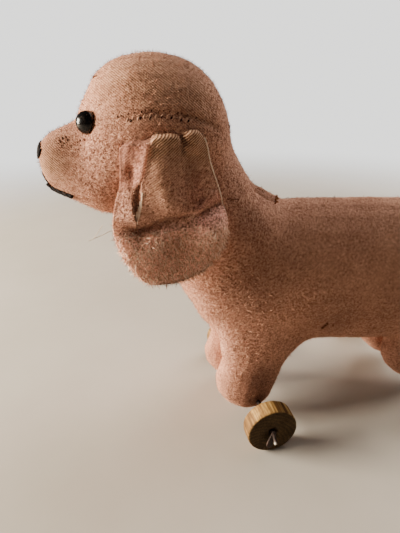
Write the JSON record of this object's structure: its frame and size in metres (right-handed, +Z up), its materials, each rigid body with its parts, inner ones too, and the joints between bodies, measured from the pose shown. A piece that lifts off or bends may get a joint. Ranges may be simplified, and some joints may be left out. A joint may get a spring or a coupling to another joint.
{
  "type": "plush dog on wheels",
  "caption": "Stuffed felt dog with hanging ears, standing on wooden wheels that turn on wire axles through its feet.",
  "frame": {"origin": "on the floor under the middle of the toy's outline", "axes": "+X from nose to tail, +Y to the toy's right, +Z up"},
  "size_m": [0.2208, 0.0862, 0.1579],
  "materials": {
    "felt": "worn salmon felt nap",
    "button": "glossy black",
    "thread": "black thread",
    "wire": "rusted iron wire",
    "wheel_wood": "bare worn wood"
  },
  "bodies": {
    "dog": {"torso": "felt", "neck": "felt", "head": "felt", "tail": "felt", "front_left_leg": "felt", "front_right_leg": "felt", "rear_left_leg": "felt", "rear_right_leg": "felt", "left_eye": "button", "right_eye": "button", "left_eye_shank": "wire", "right_eye_shank": "wire", "eye_thread": "thread", "nose_embroidery": "thread", "mouth_embroidery": "thread", "back_wire": "wire", "front_leg_wire": "wire", "rear_leg_wire": "wire", "front_axle": "wire", "rear_axle": "wire"},
    "left_ear": {"left_ear_outer": "felt", "left_ear_lining": "felt"},
    "right_ear": {"right_ear_outer": "felt", "right_ear_lining": "felt"},
    "front_left_wheel": {"front_left_wheel": "wheel_wood"},
    "front_right_wheel": {"front_right_wheel": "wheel_wood"},
    "rear_left_wheel": {"rear_left_wheel": "wheel_wood"},
    "rear_right_wheel": {"rear_right_wheel": "wheel_wood"}
  },
  "joints": [
    {"name": "left_ear_lift", "type": "hinge", "parent": "dog", "child": "left_ear", "pos_m": [-0.06715, -0.02476, 0.13565], "axis": [-1, 0, 0], "range_deg": [0, 65]},
    {"name": "right_ear_lift", "type": "hinge", "parent": "dog", "child": "right_ear", "pos_m": [-0.06715, 0.02476, 0.13565], "axis": [1, 0, 0], "range_deg": [0, 65]},
    {"name": "front_left_spin", "type": "hinge", "parent": "dog", "child": "front_left_wheel", "pos_m": [-0.02825, -0.03375, 0.01125], "axis": [0, 1, 0], "continuous": true},
    {"name": "front_right_spin", "type": "hinge", "parent": "dog", "child": "front_right_wheel", "pos_m": [-0.02825, 0.03375, 0.01125], "axis": [0, 1, 0], "continuous": true},
    {"name": "rear_left_spin", "type": "hinge", "parent": "dog", "child": "rear_left_wheel", "pos_m": [0.05975, -0.03375, 0.01125], "axis": [0, 1, 0], "continuous": true},
    {"name": "rear_right_spin", "type": "hinge", "parent": "dog", "child": "rear_right_wheel", "pos_m": [0.05975, 0.03375, 0.01125], "axis": [0, 1, 0], "continuous": true}
  ]
}
